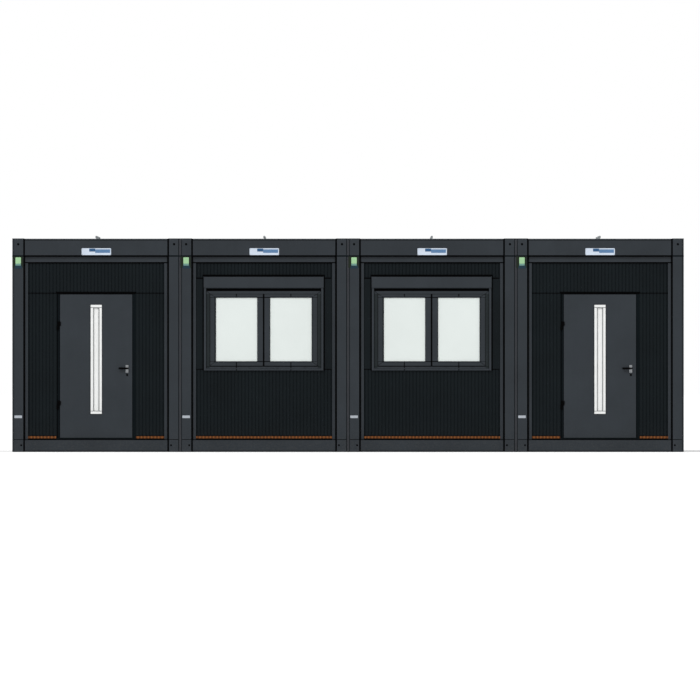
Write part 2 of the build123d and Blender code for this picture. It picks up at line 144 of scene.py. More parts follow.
TRIM_V = front_face("wall_trims")
PANEL_JOINT_V = (0.0492, 0.0545)
SOLE_Z = spans("sole_strips")[1]
FOOT_Z = (BASE_TOP - 0.0075, BASE_TOP)
# Where the black strips of painted shade lie under the header and under the roof beams.
HEAD_Z = (spans("wall_trims")[1][1] - 0.0005, spans("header_strips")[1][0] + 0.0005)
HEAD_V = (0.036, 0.0585)
BEAM_SHADE_V = (-0.0030, 0.004)

LEAF_U, LEAF_Z = spans("door_1_leaf")
LEAF_V = (front_face("door_1_leaf"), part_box("door_1_leaf")[1].y + HALF_LENGTH)
DOOR_FRAME_U, DOOR_FRAME_Z = spans("door_1_frame")
DOOR_FRAME_V = front_face("door_1_frame")
BEZEL_U, BEZEL_Z = spans("door_1_glazing_bezel")
BEZEL_V = front_face("door_1_glazing_bezel")
BEZEL_BAND = 0.045
LEVER_U, LEVER_Z = spans("door_1_lever")
PLATE_U = sum(spans("door_1_lock_plates")[0]) / 2
PLATE_V = LEAF_V[0] - 0.005
CYLINDER_V = front_face("door_1_lock_plates")
HINGE_STEP = 1.150
HINGE_U = spans("door_1_leaf_hinges")[0][0] + 0.009
HINGE_V = 0.030
HINGE_TOP = spans("door_1_leaf_hinges")[1][1] - HINGE_STEP
HINGE_FOOT = spans("door_1_frame_hinges")[1][0]

WINDOW_SHIFT = sum(spans("window_2_frame", 2)[0]) / 2
WINDOW_HALF, WINDOW_V = half_width("window_2_frame"), front_face("window_2_frame")
SASH_HALF, SASH_V = half_width("window_2_sashes"), front_face("window_2_sashes")
PANE_HALF, PANE_V = half_width("window_2_glass"), front_face("window_2_glass")
BOX_HALF = half_width("window_2_shutter_box")
SASH_Z, PANE_Z = spans("window_2_sashes")[1], spans("window_2_glass")[1]
BOX_Z, SILL_Z = spans("window_2_shutter_box")[1], spans("window_2_sill")[1]
SILL_V = front_face("window_2_sill")
STILE = 0.093
SASH_MIDDLE = 0.3955
CHANNEL_END = 0.8305


# Modelling

def deselect():
    """Nothing is selected and the scene is in object mode."""
    if bpy.context.object and bpy.context.object.mode != "OBJECT":
        bpy.ops.object.mode_set(mode="OBJECT")
    bpy.ops.object.select_all(action="DESELECT")


def activate(piece):
    """Only this piece is selected and active."""
    deselect()
    piece.select_set(True)
    bpy.context.view_layer.objects.active = piece


def settle(piece, name):
    """Names a new piece and brings its place into its mesh."""
    piece.name = name
    piece.data.name = name
    activate(piece)
    bpy.ops.object.transform_apply(location=True, rotation=True, scale=True)
    return piece


def bar(name, u, v, z):
    """A square bar on the front of module 1: u along the wall, v inwards, z up."""
    deselect()
    lows = (module_x(1) + min(u), min(v) - HALF_LENGTH, min(z))
    highs = (module_x(1) + max(u), max(v) - HALF_LENGTH, max(z))
    middle = [(a + b) / 2 for a, b in zip(lows, highs)]
    size = [b - a for a, b in zip(lows, highs)]
    bpy.ops.mesh.primitive_cube_add(size=1, location=middle, scale=size)
    return settle(bpy.context.object, name)


def pin(name, u, v, z, radius, sides):
    """A round bar that runs inwards through the front of module 1."""
    deselect()
    middle = (module_x(1) + u, sum(v) / 2 - HALF_LENGTH, z)
    bpy.ops.mesh.primitive_cylinder_add(
        vertices=sides, radius=radius, depth=abs(v[1] - v[0]), location=middle,
        rotation=(math.pi / 2, 0, 0))
    return settle(bpy.context.object, name)


def upright(name, u, v, z, radius, sides):
    """A round bar that stands upright on the front of module 1."""
    deselect()
    middle = (module_x(1) + u, v - HALF_LENGTH, sum(z) / 2)
    bpy.ops.mesh.primitive_cylinder_add(
        vertices=sides, radius=radius, depth=abs(z[1] - z[0]), location=middle)
    return settle(bpy.context.object, name)


def pick(piece, domain, test):
    """Opens edit mode with the faces or edges selected whose middle and normal pass."""
    activate(piece)
    bpy.ops.object.mode_set(mode="EDIT")
    bpy.ops.mesh.select_mode(type=domain)
    bpy.ops.mesh.select_all(action="DESELECT")
    bpy.ops.object.mode_set(mode="OBJECT")
    mesh = piece.data
    if domain == "FACE":
        for face in mesh.polygons:
            face.select = bool(test(face.center, face.normal))
    else:
        for edge in mesh.edges:
            start, end = (mesh.vertices[i].co for i in edge.vertices)
            edge.select = bool(test((start + end) / 2, (end - start).normalized()))
    bpy.ops.object.mode_set(mode="EDIT")


def close_edit():
    bpy.ops.object.mode_set(mode="OBJECT")


def outward(middle, normal):
    """The faces that look to the front."""
    return normal.y < -0.9


def runs_inwards(middle, way):
    """The edges that run inwards through the wall."""
    return abs(way.y) > 0.9


def before(v):
    """A test for the edges in front of a depth."""
    return lambda middle, way: middle.y < v - HALF_LENGTH


def round_over(piece, width, segments, test):
    """Bevels the edges that pass the test."""
    pick(piece, "EDGE", test)
    bpy.ops.mesh.bevel(offset=width, segments=segments, affect="EDGES")
    close_edit()
    return piece


def inset_front(piece, thickness, depth):
    """Insets the front face and moves it inwards (positive) or outwards."""
    pick(piece, "FACE", outward)
    bpy.ops.mesh.inset(thickness=thickness, depth=0)
    bpy.ops.transform.translate(value=(0, depth, 0))
    close_edit()
    return piece


def dress(piece, material, body):
    """Gives a finished piece its finish and the body that it rides on."""
    piece.data.materials.clear()
    piece.data.materials.append(material)
    activate(piece)
    bpy.ops.object.shade_smooth_by_angle(angle=math.radians(30))
    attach(piece, body)
    return piece


def copied(piece, name, place):
    """A copy with its own mesh, moved from its first place to another."""
    twin = piece.copy()
    twin.data = piece.data.copy()
    twin.name = name
    twin.data.name = name
    bpy.context.scene.collection.objects.link(twin)
    twin.data.transform(place @ FIRST.inverted())
    return twin


def joined(name, pieces):
    """Several copies as one piece."""
    deselect()
    for piece in pieces:
        piece.select_set(True)
    bpy.context.view_layer.objects.active = pieces[0]
    if len(pieces) > 1:
        bpy.ops.object.join()
    whole = bpy.context.object
    whole.name = name
    whole.data.name = name
    return whole


def repeated(piece, name, places):
    """One piece made of copies of the first at every place, which may include its own."""
    copies = [copied(piece, f"{name}_{i}", place) for i, place in enumerate(places)]
    bpy.data.objects.remove(piece)
    return joined(name, copies)


def on_each(piece, numbers, material, body="building"):
    """Copies a first piece to its place on the front of every module listed."""
    name = piece.name
    for n in numbers:
        dress(copied(piece, f"{name}_{n}", front(n)), material, body.format(n))
    bpy.data.objects.remove(piece)


def shifted(place, u=0.0, v=0.0, z=0.0):
    return place @ Matrix.Translation((u, v, z))


def centred(half):
    return (-half, half)


def proud(face, height):
    """Depth of a strip that stands out from a face and reaches just behind it."""
    return (face - height, face + 0.0002)


def strip(u, v, z):
    """A thin strip with its outer edges broken."""
    piece = bar("strip", u, v, z)
    face = min(v) - HALF_LENGTH
    return round_over(piece, 0.0004, 1, lambda middle, way: abs(middle.y - face) < 1e-5)


def lining(name, boxes, places, material=None):
    """Thin strips of one kind, black unless told, many of them painted shade: modelled on module 1 and
    copied to every place.
    """
    run = joined(name, [strip(*box) for box in boxes])
    return dress(repeated(run, name, places), material or finish("black rubber and shade"), "building")


def both(low, high, v, z):
    """The same strip on the left and on the right of the middle."""
    return [((-high, -low), v, z), ((low, high), v, z)]


# Finishes

def node(tree, kind, inputs=None, **settings):
    """A shader node with its settings, and its inputs set or linked."""
    new = tree.nodes.new(kind)
    for key, value in settings.items():
        setattr(new, key, value)
    for key, value in (inputs or {}).items():
        if isinstance(value, bpy.types.NodeSocket):
            tree.links.new(value, new.inputs[key])
        else:
            new.inputs[key].default_value = value
    return new


def blank(name):
    """A material with one plain shader, and the tree to build on."""
    material = bpy.data.materials.new(name)
    material.use_nodes = True
    tree = material.node_tree
    tree.nodes.clear()
    shader = tree.nodes.new("ShaderNodeBsdfPrincipled")
    output = tree.nodes.new("ShaderNodeOutputMaterial")
    tree.links.new(shader.outputs[0], output.inputs["Surface"])
    return material, tree, shader


def noise(tree, scale, detail, stretch=(1, 1, 1)):
    """Noise on the piece's own coordinates, stretched by a scale along each axis."""
    place = node(tree, "ShaderNodeTexCoord").outputs["Object"]
    mapped = node(tree, "ShaderNodeMapping", {"Vector": place, "Scale": stretch})
    inputs = {"Vector": mapped.outputs[0], "Scale": scale, "Detail": detail, "Roughness": 0.55}
    return node(tree, "ShaderNodeTexNoise", inputs).outputs["Fac"]


def ramp(tree, value, low, high, to_low=0.0, to_high=1.0):
    """A value stretched from one range to another, and clamped."""
    inputs = {"Value": value, "From Min": low, "From Max": high,
              "To Min": to_low, "To Max": to_high}
    return node(tree, "ShaderNodeMapRange", inputs).outputs[0]


def mixed(tree, factor, first, second):
    """One colour turning into another."""
    mix = node(tree, "ShaderNodeMix", data_type="RGBA")
    for index, value in ((0, factor), (6, first), (7, second)):
        if isinstance(value, bpy.types.NodeSocket):
            tree.links.new(value, mix.inputs[index])
        elif index == 0:
            mix.inputs[index].default_value = value
        else:
            mix.inputs[index].default_value = (*value, 1)
    return mix.outputs[2]


def maths(tree, operation, first, second):
    inputs = {0: first, 1: second}
    return node(tree, "ShaderNodeMath", inputs, operation=operation).outputs[0]


def along(tree, axis):
    """The piece's own coordinate along one axis."""
    place = node(tree, "ShaderNodeTexCoord").outputs["Object"]
    return node(tree, "ShaderNodeSeparateXYZ", {0: place}).outputs[axis]


def flakes(tree, scale):
    """Small flakes of different greys."""
    place = node(tree, "ShaderNodeTexCoord").outputs["Object"]
    cells = node(tree, "ShaderNodeTexVoronoi", {"Vector": place, "Scale": scale}).outputs["Color"]
    return node(tree, "ShaderNodeSeparateColor", {0: cells}).outputs[0]


def crease(tree, distance):
    """Falls from 1 to 0 in the corners where two surfaces meet: the mask of the painted shade."""
    inputs = {"Distance": distance}
    return node(tree, "ShaderNodeAmbientOcclusion", inputs, samples=6).outputs["AO"]


def worn_and_highlit_edge(tree, radius):
    """Rises from 0 to 1 on the outer edges of a piece: the mask of worn paint and of a painted highlight."""
    soft = node(tree, "ShaderNodeBevel", {"Radius": radius}, samples=4).outputs[0]
    plain = node(tree, "ShaderNodeNewGeometry").outputs["Normal"]
    inputs = {0: soft, 1: plain}
    match = node(tree, "ShaderNodeVectorMath", inputs, operation="DOT_PRODUCT")
    return ramp(tree, match.outputs["Value"], 0.99, 0.86)


def scaled(colour, factor):
    """A colour made darker or lighter."""
    return tuple(min(1, c * factor) for c in colour)


def cover(shader, base, gloss, specular=0.5, relief=None, strength=0.1, depth=0.001):
    """Gives a shader its colour, its roughness and its relief."""
    tree = shader.id_data
    tree.links.new(base, shader.inputs["Base Color"])
    tree.links.new(gloss, shader.inputs["Roughness"])
    shader.inputs["Specular IOR Level"].default_value = specular
    if relief is not None:
        bump = node(tree, "ShaderNodeBump", {"Strength": strength, "Distance": depth, "Height": relief})
        tree.links.new(bump.outputs[0], shader.inputs["Normal"])


def paint(name, colour, roughness=0.42, specular=0.16, mottle=0.10, dust=0.16, peel=0.10,
          shade=0.55, wear_and_highlight=0.16, crease_reach=0.022):
    """Sprayed paint: faint clouds and streaks, dust near the ground, painted shade in the creases, and
    lighter edges that are partly worn paint and partly a painted highlight.
    """
    material, tree, shader = blank(name)
    clouds = ramp(tree, noise(tree, 1.6, 5.0), 0.3, 0.7)
    base = mixed(tree, clouds, scaled(colour, 1 - mottle), scaled(colour, 1 + mottle))
    streaks = ramp(tree, noise(tree, 9.0, 6.0, (1, 1, 0.06)), 0.52, 0.75, 0.0, 0.25)
    base = mixed(tree, streaks, base, scaled(colour, 0.82))
    splash = ramp(tree, along(tree, "Z"), 0.45, 0.0)
    speckle = ramp(tree, noise(tree, 55.0, 6.0), 0.45, 0.68)
    soil_and_crease_shade = maths(tree, "MULTIPLY", maths(tree, "MULTIPLY", splash, speckle), dust)
    base = mixed(tree, soil_and_crease_shade, base, srgb(128, 122, 112))
    # Lighter edges: partly worn paint, partly a painted highlight of the rounded edges.
    edge = maths(tree, "MULTIPLY", worn_and_highlit_edge(tree, 0.004), wear_and_highlight)
    base = mixed(tree, edge, base, tuple(min(1, c * 2.2 + 0.01) for c in colour))
    if shade:
        # Painted shade: the paint turns darker in the creases where two surfaces meet.
        joint = ramp(tree, crease(tree, crease_reach), 0.95, 0.45, 0.0, shade)
        base = mixed(tree, joint, base, scaled(colour, 0.25))
    gloss = ramp(tree, noise(tree, 14.0, 6.0), 0.3, 0.7, roughness - 0.04, roughness + 0.05)
    gloss = maths(tree, "ADD", gloss, maths(tree, "MULTIPLY", soil_and_crease_shade, 1.2))
    relief = maths(tree, "ADD", noise(tree, 420.0, 2.0), noise(tree, 2.4, 2.0))
    cover(shader, base, gloss, specular, relief, peel, 0.002)
    return material


def moulded(name, colour, roughness=0.35, specular=0.35, grain=0.05, soil_and_crease_shade=0.12):
    """Moulded plastic or rubber with a fine grain and painted shade in its corners."""
    material, tree, shader = blank(name)
    clouds = ramp(tree, noise(tree, 7.0, 5.0), 0.3, 0.7)
    base = mixed(tree, clouds, scaled(colour, 0.95), scaled(colour, 1.04))
    # Painted shade: darker in the corners where two surfaces meet.
    crease_shade = ramp(tree, crease(tree, 0.012), 0.9, 0.35, 0.0, soil_and_crease_shade)
    base = mixed(tree, crease_shade, base, scaled(colour, 0.35))
    gloss = ramp(tree, noise(tree, 40.0, 4.0), 0.3, 0.7, roughness - 0.06, roughness + 0.08)
    cover(shader, base, gloss, specular, noise(tree, 900.0, 2.0), grain)
    return material


def pale_pane(name, colour, roughness=0.07, ripple=0.03):
    """Obscured glazing that reads as an even pale sheet with a clear gloss."""
    material, tree, shader = blank(name)
    clouds = ramp(tree, noise(tree, 1.3, 3.0), 0.3, 0.7)
    base = mixed(tree, clouds, scaled(colour, 0.975), scaled(colour, 1.02))
    # Painted shade: darker in the corners where two surfaces meet.
    painted_crease_shade = ramp(tree, crease(tree, 0.03), 0.85, 0.3, 0.0, 0.10)
    base = mixed(tree, painted_crease_shade, base, scaled(colour, 0.6))
    gloss = ramp(tree, noise(tree, 6.0, 5.0), 0.35, 0.7, roughness, roughness + 0.06)
    shader.inputs["Coat Weight"].default_value = 0.25
    shader.inputs["Coat Roughness"].default_value = 0.03
    cover(shader, base, gloss, 0.30, noise(tree, 5.0, 2.0), ripple, 0.004)
    return material


def bare_metal(name, colour, roughness=0.32, brush=(1, 1, 0.04), spangle=0.0, crease_shade=0.2):
    """Brushed or zinc-coated metal with dull patches and painted shade in its folds."""
    material, tree, shader = blank(name)
    lines = ramp(tree, noise(tree, 160.0, 4.0, brush), 0.3, 0.7)
    base = mixed(tree, lines, scaled(colour, 0.88), scaled(colour, 1.06))
    if spangle:
        spots = maths(tree, "MULTIPLY", flakes(tree, 55.0), spangle)
        base = mixed(tree, spots, base, scaled(colour, 1.5))
    # Painted shade: darker in the folds where two surfaces meet.
    painted_crease_shade = ramp(tree, crease(tree, 0.03), 0.9, 0.35, 0.0, crease_shade)
    base = mixed(tree, painted_crease_shade, base, scaled(colour, 0.3))
    gloss = ramp(tree, noise(tree, 30.0, 5.0), 0.3, 0.7, roughness - 0.08, roughness + 0.12)
    shader.inputs["Metallic"].default_value = 1.0
    cover(shader, base, gloss, relief=lines, strength=0.06)
    return material


def sole_board(name, colour):
    """Brown coated board: long grain, with painted light in lighter spots under the grooves of the sheet
    above.
    """
    material, tree, shader = blank(name)
    spots = []
    for axis in ("X", "Y"):
        turns = maths(tree, "MULTIPLY", along(tree, axis), 2 * math.pi / GROOVE_PITCH)
        wave = node(tree, "ShaderNodeMath", {0: turns}, operation="COSINE").outputs[0]
        spots.append(ramp(tree, wave, 0.1, 0.9))
    normal = node(tree, "ShaderNodeNewGeometry").outputs["True Normal"]
    across = node(tree, "ShaderNodeSeparateXYZ", {0: normal}).outputs["X"]
    facing_end = ramp(tree, maths(tree, "ABSOLUTE", across, 0.0), 0.4, 0.6)
    groove_light = node(tree, "ShaderNodeMix", {0: facing_end, 2: spots[0], 3: spots[1]}, data_type="FLOAT")
    grain = ramp(tree, noise(tree, 60.0, 6.0, (0.08, 0.08, 1)), 0.35, 0.7)
    base = mixed(tree, grain, scaled(colour, 0.72), colour)
    # Painted light: the board is lighter under the grooves of the sheet above.
    lift = maths(tree, "MULTIPLY", groove_light.outputs[0], 0.75)
    base = mixed(tree, lift, base, scaled(colour, 2.3))
    cover(shader, base, ramp(tree, grain, 0.0, 1.0, 0.55, 0.75), 0.2, grain, 0.25)
    return material


def floor_sheet(name, colour):
    """Vinyl floor with small chips of two greys."""
    material, tree, shader = blank(name)
    base = mixed(tree, ramp(tree, flakes(tree, 180.0), 0.2, 0.9), scaled(colour, 0.75), scaled(colour, 1.25))
    cover(shader, base, ramp(tree, noise(tree, 5.0, 5.0), 0.3, 0.7, 0.38, 0.55))
    return material


def finish(name):
    """A finish by its name, as the finishes operator made it."""
    return bpy.data.materials[name]


# What a user may change

class CabinColours(bpy.types.PropertyGroup):
    """Colours of the cabin's finishes."""

    frame: bpy.props.FloatVectorProperty(
        name="Frame", description="Paint of the steel frame, doors, windows and shutters",
        default=srgb(46, 51, 56), subtype="COLOR", min=0, max=1)
    panel: bpy.props.FloatVectorProperty(
        name="Panels", description="Coating of the ribbed wall panels",
        default=srgb(18, 24, 27), subtype="COLOR", min=0, max=1)
    # The door frame colour is also the painted shade of the dark strips across the posts.
    door_frame: bpy.props.FloatVectorProperty(
        name="Door frames and shade", description="Paint of the door frames and of the painted shade across the posts",
        default=srgb(13, 19, 22), subtype="COLOR", min=0, max=1)
    sole: bpy.props.FloatVectorProperty(
        name="Sole", description="Stain of the brown strip at the foot of the panels",
        default=srgb(104, 60, 26), subtype="COLOR", min=0, max=1)
    bezel: bpy.props.FloatVectorProperty(
        name="Glazing frame", description="White frame and pane of the door's vision strip",
        default=srgb(240, 241, 240), subtype="COLOR", min=0, max=1)
    glass: bpy.props.FloatVectorProperty(
        name="Glass", description="Even tone of the obscured window panes",
        default=srgb(229, 236, 233), subtype="COLOR", min=0, max=1)
    # Black is also the colour of the strips of painted shade.
    black: bpy.props.FloatVectorProperty(
        name="Black parts", description="Levers, hinges, slats, seals and plugs",
        default=srgb(5, 5, 6), subtype="COLOR", min=0, max=1)
    steel: bpy.props.FloatVectorProperty(
        name="Steel", description="Lock plates and screws",
        default=srgb(150, 153, 156), subtype="COLOR", min=0, max=1)
    zinc: bpy.props.FloatVectorProperty(
        name="Zinc", description="Roof sheets and the sheets under the floor",
        default=srgb(158, 162, 164), subtype="COLOR", min=0, max=1)


class CabinSizes(bpy.types.PropertyGroup):
    """Sizes of the small fittings."""

    plate_width: bpy.props.FloatProperty(
        name="Plate width", description="Width of the bare plate on each roof beam",
        default=0.427, unit="LENGTH")
    plate_height: bpy.props.FloatProperty(
        name="Plate height", description="Height of the bare plate on each roof beam",
        default=0.099, unit="LENGTH")
    # The strips under the roof beams are painted shade.
    beam_shade_height: bpy.props.FloatProperty(
        name="Beam shade strip", description="Height of the strips under the roof beams",
        default=0.0215, unit="LENGTH")
    screw_pitch: bpy.props.FloatProperty(
        name="Screw pitch", description="Distance between the screws of the trims",
        default=0.410, unit="LENGTH")
    clip_pitch: bpy.props.FloatProperty(
        name="Clip pitch", description="Distance between the clips of the roof seams",
        default=0.600, unit="LENGTH")


def colours():
    return bpy.context.scene.cabin_colours


def sizes():
    return bpy.context.scene.cabin_sizes


# Operators

def frame_paints(c):
    """Paints of the frame, the doors and the windows, all from the frame's colour."""
    paint("post paint", c.frame, wear_and_highlight=0.12, dust=0.06, shade=0.2)
    paint("beam paint", scaled(c.frame, 0.97), mottle=0.12, dust=0.06)
    paint("trim paint", scaled(c.frame, 1.02), dust=0.05)
    paint("leaf paint", scaled(c.frame, 1.05), 0.36, peel=0.06, dust=0.05, wear_and_highlight=0.10, shade=0.35)
    paint("window paint", scaled(c.frame, 0.98), 0.32, dust=0.0, peel=0.05, shade=0.7,
          crease_reach=0.012)
    paint("shutter paint", scaled(c.frame, 1.03), 0.38, dust=0.0, peel=0.05, shade=0.6,
          crease_reach=0.015)
    paint("door frame and shade paint", c.door_frame, 0.5, 0.03, dust=0.03, shade=0.0)


def wall_finishes(c):
    """Panels, sole, floor, ceiling and roof."""
    paint("panel coating", c.panel, 0.48, 0.07, mottle=0.14, dust=0.04, peel=0.08, shade=0.5,
          wear_and_highlight=0.08, crease_reach=0.015)
    sole_board("brown sole", tuple(c.sole))
    floor_sheet("floor vinyl", srgb(132, 135, 136))
    moulded("ceiling board", srgb(226, 226, 222), 0.7, 0.2, grain=0.02, soil_and_crease_shade=0.1)
    bare_metal("zinc", c.zinc, 0.40, (1, 1, 1), spangle=0.35, crease_shade=0.3)


def fitting_finishes(c):
    """Glass, plastic, rubber and bare steel."""
    moulded("white moulding", c.bezel, soil_and_crease_shade=0.55)
    pale_pane("window glass", c.glass)
    pale_pane("vision glass", scaled(c.bezel, 1.06), roughness=0.16, ripple=0.12)
    moulded("black coating", scaled(c.black, 0.5), 0.5, 0.03, grain=0.04, soil_and_crease_shade=0.3)
    moulded("lever grip", scaled(c.black, 0.5), 0.55, 0.03, grain=0.03, soil_and_crease_shade=0.2)
    moulded("black rubber and shade", scaled(c.black, 0.6), 0.7, 0.02, grain=0.1, soil_and_crease_shade=0.2)
    bare_metal("brushed steel", c.steel)


# The first finish with a word that a node's name holds is the node's finish
FINISH_WORDS = (
    ("post paint", ("corner_",)), ("beam paint", ("_beams", "fork_pockets")),
    ("trim paint", ("wall_trims", "header_strips")), ("panel coating", ("wall",)),
    ("brown sole", ("sole_strips",)), ("floor vinyl", ("floor_decks",)),
    ("ceiling board", ("ceilings",)), ("zinc", ("sheets",)),
    ("black coating", ("hinges",)), ("black rubber and shade", ("joint_seals", "shutter_slat")),
    ("white moulding", ("bezel",)), ("brushed steel", ("lock_plates",)), ("lever grip", ("lever",)),
    ("leaf paint", ("leaf",)), ("shutter paint", ("shutter",)),
    ("window glass", ("window_2_glass", "window_3_glass")), ("vision glass", ("glass",)),
    ("window paint", ("window",)), ("door frame and shade paint", ("door",)),
)


class CABIN_OT_finishes(bpy.types.Operator):
    """Gives every CAD node its finish"""

    bl_idname = "cabin.finishes"
    bl_label = "Finishes"

    def execute(self, context):
        c = colours()
        frame_paints(c)
        wall_finishes(c)
        fitting_finishes(c)
        for name, piece in NODES.items():
            kind = next(kind for kind, words in FINISH_WORDS if any(word in name for word in words))
            piece.data.materials.clear()
            piece.data.materials.append(finish(kind))
        return {"FINISHED"}


class CABIN_OT_name_plates(bpy.types.Operator):
    """Bare plates on the roof beams, each with two plain bands and four rivets"""

    bl_idname = "cabin.name_plates"
    bl_label = "Name plates"

    def execute(self, context):
        s = sizes()
        white = moulded("plate enamel", srgb(209, 220, 235), 0.25, 0.3, 0.02, 0.2)
        blue = moulded("plate band", srgb(90, 126, 166), 0.28, 0.3, 0.02, 0.2)
        navy = moulded("plate end band", srgb(42, 84, 124), 0.28, 0.3, 0.02, 0.2)
        middle_u, middle_z = 0.003, 2.908
        left, right = middle_u - s.plate_width / 2, middle_u + s.plate_width / 2
        low, high = middle_z - s.plate_height / 2, middle_z + s.plate_height / 2
        plate = bar("name_plate", (left, right), (-0.004, 0), (low, high))
        round_over(plate, 0.010, 4, runs_inwards)
        inset_front(plate, 0.004, 0.0008)

        printed = (-0.0042, -0.0032)
        band = bar("plate_band", (-0.013, right - 0.014), printed, (high - 0.0670, high - 0.0170))
        round_over(band, 0.004, 3, runs_inwards)
        end = bar("plate_end_band", (-0.100, -0.0135), printed, (high - 0.0480, high - 0.0055))
        round_over(end, 0.004, 3, runs_inwards)

        margin = 0.012
        rivet = pin("plate_rivets", left + margin, (-0.0055, -0.002), low + margin, 0.0035, 12)
        round_over(rivet, 0.0012, 2, before(-0.005))
        steps_u, steps_z = (0, s.plate_width - 2 * margin), (0, s.plate_height - 2 * margin)
        rivets = repeated(rivet, "plate_rivets", [shifted(FIRST, u, 0, z) for u in steps_u for z in steps_z])

        on_each(plate, MODULES, white)
        on_each(band, MODULES, blue)
        on_each(end, MODULES, navy)
        on_each(rivets, MODULES, finish("brushed steel"))
        return {"FINISHED"}


class CABIN_OT_stickers(bpy.types.Operator):
    """Plain coloured stickers and a small white label on the left post of each module"""

    bl_idname = "cabin.stickers"
    bl_label = "Stickers"

    def execute(self, context):
        edge = -MODULE_HALF
        films = (
            ("sticker_border", (0.003, 0.155), (2.674, 2.838), 0.0010, srgb(10, 24, 8)),
            ("sticker_green", (0.0465, 0.125), (2.734, 2.825), 0.0016, srgb(160, 203, 155)),
            ("sticker_teal", (0.0465, 0.125), (2.706, 2.7335), 0.0016, srgb(108, 148, 140)),
            ("sticker_blue", (0.036, 0.140), (2.663, 2.7055), 0.0014, srgb(18, 46, 60)),
            ("small_label", (0.0315, 0.1415), (0.4915, 0.5295), 0.0012, srgb(176, 182, 190)),
        )
        for name, u, z, raised, colour in films:
            film = moulded(f"{name} film", colour, 0.35, 0.25, 0.02, 0.1)
            sticker = bar(name, (edge + u[0], edge + u[1]), (-raised, 0), z)
            round_over(sticker, 0.006, 3, runs_inwards)
            round_over(sticker, 0.0003, 1, before(0.0001 - raised))
            on_each(sticker, MODULES, film)
        return {"FINISHED"}


# Frame joints, and painted shade on the frame

def frame_lines(places):
    """Black strips of painted shade in the reveals and on the post faces beside them, and the dark lines
    along the folded edges.
    """
    lip, fold = INNER + 0.0100, MODULE_HALF - 0.0215
    half = 0.0034
    line = proud(0, 0.0006)
    # Painted shade: black strips in the reveals beside the posts.
    reveals = both(BEAM_END + 0.0005, INNER + 0.0095, (0.0125, 0.0152), (0.001, BEAM_TOP - 0.002))
    lining("reveal_shade_strips", reveals, places)
    # Painted shade: black strips on the post faces along the reveals.
    lips = both(lip, lip + 0.0035, line, (0.001, POST_TOP))
    lips += both(lip, lip + 0.0035, line, (POST_TOP, BEAM_TOP - 0.002))
    folds = both(fold - half, fold + half, line, (0.004, POST_TOP))
    folds += both(fold - half, fold + half, line, (POST_TOP, FITTINGS[1].z - 0.004))
    lining("fold_lines", lips + folds, places)
    edges = [(ALONG_BEAM, line, (z - 0.0025, z + 0.0025)) for z in (0.024, BEAM_TOP - 0.026)]
    lining("beam_fold_lines", edges, places)


def under_beam():
    """Height of the black strips of painted shade under the roof beams."""
    foot = POST_TOP - 0.0065
    return (foot, foot + sizes().beam_shade_height)


def end_wall_seals(places):
    """Strips under the roof beam and at the head and foot of the front and rear walls; those under the roof
    beam, under the header and along the top of the sole are painted shade.
    """
    # Painted shade: black strip under the roof beam.
    lining("beam_shade_strips", [(ALONG_BEAM, BEAM_SHADE_V, under_beam())], places)
    # Painted shade: black strip under the header.
    lining("header_shade_strips", [(centred(INNER - 0.0130), HEAD_V, HEAD_Z)], places)
    wall = centred(BETWEEN_TRIMS)
    soles = [(ALONG_BEAM, proud(0, 0.0010), FOOT_Z),
             (centred(INNER - 0.0135), (0.001, 0.0525), (BASE_TOP - 0.0005, BASE_TOP + 0.0015)),
             (wall, (0.0515, 0.0575), (SOLE_Z[0] - 0.0085, SOLE_Z[0] + 0.0070)),
             # Painted shade: black line along the top of the sole.
             (wall, (0.0490, 0.0535), (SOLE_Z[1] - 0.0020, SOLE_Z[1] + 0.0045))]
    lining("sole_seals_and_shade", soles, places)
    feet = both(INNER + 0.010, MODULE_HALF - 0.026, proud(0, 0.0010), (BASE_TOP - 0.003, BASE_TOP + 0.005))
    lining("foot_seals", feet, places)


def side_wall_seals(places):
    """The same strips on the two long sides, with the same painted shade under the roof beam and the header.
    """
    beam = centred(SIDE_INNER - 0.0005)
    runs = [(beam, BEAM_SHADE_V, under_beam()), (beam, proud(0, 0.0010), FOOT_Z),
            (centred(SIDE_INNER - 0.013), HEAD_V, HEAD_Z)]
    lining("side_seals_and_shade", runs, places)


def fitting_shade_strips(ends, sides):
    """Painted shade: dark strips across the posts, under the top corner fittings."""
    dark, depth = finish("door frame and shade paint"), proud(0, 0.0009)
    # Painted shade: a dark strip where each post meets the fitting above it.
    height = (POST_TOP - 0.0055, POST_TOP + 0.0150)
    across = both(INNER + 0.0140, MODULE_HALF - 0.0010, depth, height)
    lining("fitting_shade_strips", across, ends, dark)
    across = both(SIDE_INNER + 0.0010, HALF_LENGTH - 0.0010, depth, height)
    lining("side_fitting_shade_strips", across, sides, dark)


def joint_covers():
    """Round covers over the joints between the modules, in a lighter paint that is a painted highlight of
    the rounded post edges.
    """
    # Painted highlight: the covers are lighter than the frame paint.
    light = paint("joint cover highlight paint", srgb(61, 62, 66), 0.4, 0.2, dust=0.05, shade=0.0, wear_and_highlight=0.0)
    joint = MODULE_HALF + MODULE_GAP
    cover = upright("joint_covers", joint, 0.0140, (0.012, FITTINGS[1].z - 0.014), 0.0097, 20)
    pick(cover, "FACE", lambda m, normal: abs(normal.z) > 0.9)
    bpy.ops.mesh.inset(thickness=0.002, depth=0.001)
    close_edit()
    places = [front(n) for n in MODULES[:-1]] + [rear(n) for n in MODULES[1:]]
    dress(repeated(cover, "joint_covers", places), light, "building")


